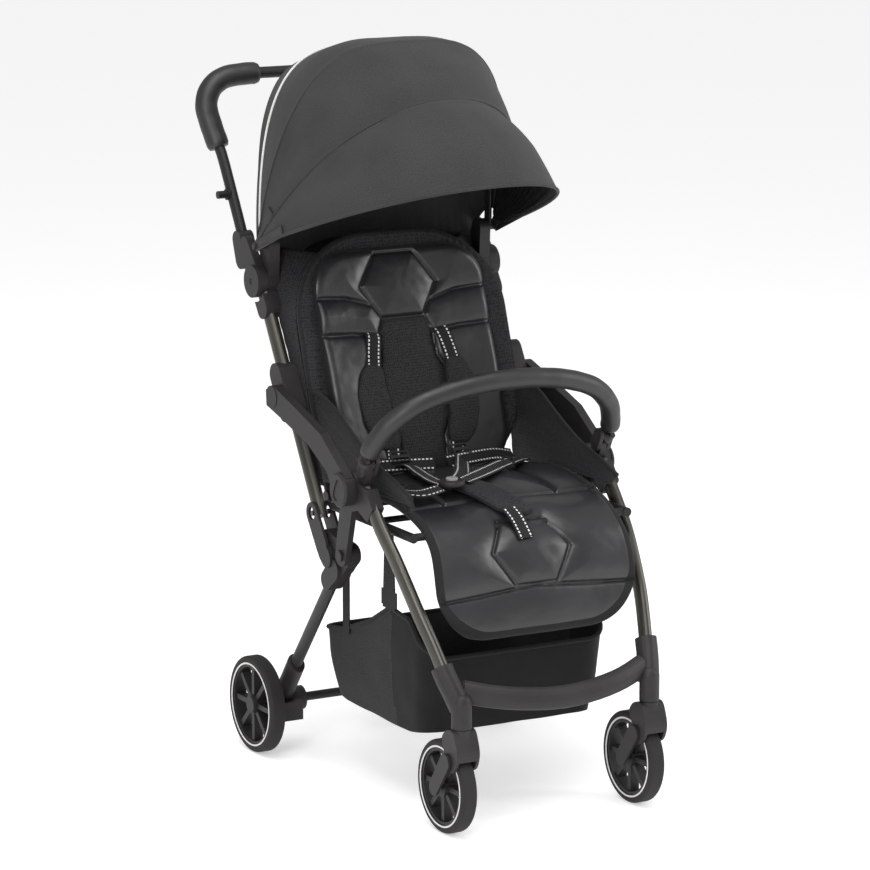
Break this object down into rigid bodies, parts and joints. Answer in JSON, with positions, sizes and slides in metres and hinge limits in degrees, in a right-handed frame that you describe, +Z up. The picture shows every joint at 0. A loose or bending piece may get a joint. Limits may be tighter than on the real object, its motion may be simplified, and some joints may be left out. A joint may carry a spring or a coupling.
{
  "type": "baby stroller",
  "caption": "Compact folding baby stroller with a padded reclining seat, fold-back canopy, padded bumper bar, mesh basket, swivel front wheels and a U-shaped handle.",
  "frame": {"origin": "centre of the bounding box, on the floor", "axes": "+Z up, X across the stroller, the front faces -Y"},
  "size_m": [0.466, 0.779, 1.1137],
  "materials": {
    "satin_tube": "satin",
    "matt_plastic": "matte",
    "dark_tube": "satin",
    "leatherette": "satin",
    "canopy_fabric": "matte",
    "mesh_fabric": "matte",
    "webbing": "matte",
    "wheel_tyre": "matte",
    "wheel_plastic": "matte"
  },
  "bodies": {
    "frame": {"front_leg_left": "satin_tube", "front_leg_right": "satin_tube", "footrest": "matt_plastic", "hub_housing_left": "matt_plastic", "hub_housing_right": "matt_plastic", "hub_cap_left": "matt_plastic", "hub_cap_right": "matt_plastic", "seat_frame": "satin_tube", "seat_pad": "leatherette", "seat_side_left": "mesh_fabric", "seat_side_right": "mesh_fabric", "harness_crotch": "webbing", "basket": "mesh_fabric", "basket_straps": "webbing"},
    "bumper": {"bumper_bar": "leatherette", "bumper_clips": "matt_plastic"},
    "leg_rest": {"leg_rest": "leatherette"},
    "side_links": {"armrest_left": "matt_plastic", "armrest_right": "matt_plastic"},
    "uprights": {"upright_left": "satin_tube", "upright_right": "satin_tube", "upright_bracket_left": "matt_plastic", "upright_bracket_right": "matt_plastic", "fold_joint_left": "matt_plastic", "fold_joint_right": "matt_plastic", "canopy_rear": "canopy_fabric"},
    "canopy_middle": {"canopy_middle": "canopy_fabric"},
    "canopy_visor": {"canopy_visor": "canopy_fabric"},
    "backrest": {"backrest_frame": "dark_tube", "backrest_pad": "leatherette", "harness_shoulder": "webbing"},
    "handle": {"handle_socket_left": "matt_plastic", "handle_socket_right": "matt_plastic", "handle_tube": "dark_tube", "handle_grip": "leatherette"},
    "fold_button": {"fold_button": "matt_plastic"},
    "rear_legs": {"leg_connector_left": "matt_plastic", "leg_connector_right": "matt_plastic", "rear_leg_left": "dark_tube", "rear_leg_right": "dark_tube", "rear_housing_left": "matt_plastic", "rear_housing_right": "matt_plastic", "rear_axle_tube": "dark_tube"},
    "brake_pedal": {"brake_pedal": "matt_plastic"},
    "rear_wheel_left": {"rear_tyre_left": "wheel_tyre", "rear_rim_left": "wheel_plastic"},
    "caster_left": {"caster_fork_left": "matt_plastic"},
    "swing_arm_left": {"swing_arm_left": "matt_plastic"},
    "front_wheel_left": {"front_tyre_left": "wheel_tyre", "front_rim_left": "wheel_plastic"},
    "rear_wheel_right": {"rear_tyre_right": "wheel_tyre", "rear_rim_right": "wheel_plastic"},
    "caster_right": {"caster_fork_right": "matt_plastic"},
    "swing_arm_right": {"swing_arm_right": "matt_plastic"},
    "front_wheel_right": {"front_tyre_right": "wheel_tyre", "front_rim_right": "wheel_plastic"}
  },
  "joints": [
    {"name": "frame_fold", "type": "hinge", "parent": "frame", "child": "side_links", "pos_m": [0, -0.11, 0.48], "axis": [-1, 0, 0], "range_deg": [0, 25]},
    {"name": "upright_fold", "type": "hinge", "parent": "side_links", "child": "uprights", "pos_m": [0, 0.113, 0.582], "axis": [1, 0, 0], "range_deg": [0, 18.7]},
    {"name": "rear_leg_fold", "type": "hinge", "parent": "frame", "child": "rear_legs", "pos_m": [0, -0.08, 0.372], "axis": [-1, 0, 0], "range_deg": [0, 51]},
    {"name": "handle_fold", "type": "hinge", "parent": "uprights", "child": "handle", "pos_m": [0, 0.208, 0.744], "axis": [-1, 0, 0], "range_deg": [0, 96]},
    {"name": "fold_button_press", "type": "slide", "parent": "handle", "child": "fold_button", "axis": [0, -1, 0], "range_m": [0, 0.002], "stiffness_N_per_m": 600},
    {"name": "canopy_fold", "type": "hinge", "parent": "uprights", "child": "canopy_middle", "pos_m": [0, 0.196, 0.8], "axis": [-1, 0, 0], "range_deg": [0, 25]},
    {"name": "visor_fold", "type": "hinge", "parent": "canopy_middle", "child": "canopy_visor", "pos_m": [0, 0.196, 0.8], "axis": [-1, 0, 0], "range_deg": [0, 25]},
    {"name": "backrest_recline", "type": "hinge", "parent": "uprights", "child": "backrest", "pos_m": [0, 0.076, 0.426], "axis": [-1, 0, 0], "range_deg": [0, 40]},
    {"name": "leg_rest_raise", "type": "hinge", "parent": "frame", "child": "leg_rest", "pos_m": [0, -0.247, 0.43], "axis": [-1, 0, 0], "range_deg": [0, 60]},
    {"name": "bumper_swing", "type": "hinge", "parent": "frame", "child": "bumper", "pos_m": [0, -0.145, 0.514], "axis": [1, 0, 0], "range_deg": [0, 55]},
    {"name": "brake_press", "type": "hinge", "parent": "rear_legs", "child": "brake_pedal", "pos_m": [0, 0.205, 0.076], "axis": [-1, 0, 0], "range_deg": [0, 15]},
    {"name": "rear_wheel_spin_left", "type": "hinge", "parent": "rear_legs", "child": "rear_wheel_left", "pos_m": [0.21, 0.205, 0.076], "axis": [1, 0, 0], "continuous": true},
    {"name": "caster_swivel_left", "type": "hinge", "parent": "frame", "child": "caster_left", "pos_m": [0.16, -0.356, 0.15], "axis": [0, 0, 1], "continuous": true},
    {"name": "suspension_left", "type": "hinge", "parent": "caster_left", "child": "swing_arm_left", "pos_m": [0.16, -0.347, 0.116], "axis": [1, 0, 0], "range_deg": [0, 6], "stiffness_Nm_per_rad": 120, "springref_deg": -3.44},
    {"name": "front_wheel_spin_left", "type": "hinge", "parent": "swing_arm_left", "child": "front_wheel_left", "pos_m": [0.16, -0.314, 0.07], "axis": [1, 0, 0], "continuous": true},
    {"name": "rear_wheel_spin_right", "type": "hinge", "parent": "rear_legs", "child": "rear_wheel_right", "pos_m": [-0.21, 0.205, 0.076], "axis": [1, 0, 0], "continuous": true},
    {"name": "caster_swivel_right", "type": "hinge", "parent": "frame", "child": "caster_right", "pos_m": [-0.16, -0.356, 0.15], "axis": [0, 0, 1], "continuous": true},
    {"name": "suspension_right", "type": "hinge", "parent": "caster_right", "child": "swing_arm_right", "pos_m": [-0.16, -0.347, 0.116], "axis": [1, 0, 0], "range_deg": [0, 6], "stiffness_Nm_per_rad": 120, "springref_deg": -3.44},
    {"name": "front_wheel_spin_right", "type": "hinge", "parent": "swing_arm_right", "child": "front_wheel_right", "pos_m": [-0.16, -0.314, 0.07], "axis": [1, 0, 0], "continuous": true}
  ],
  "couplings": [
    {"joint": "upright_fold", "follows": "frame_fold", "ratio": 0.747},
    {"joint": "rear_leg_fold", "follows": "frame_fold", "ratio": 2.038}
  ]
}
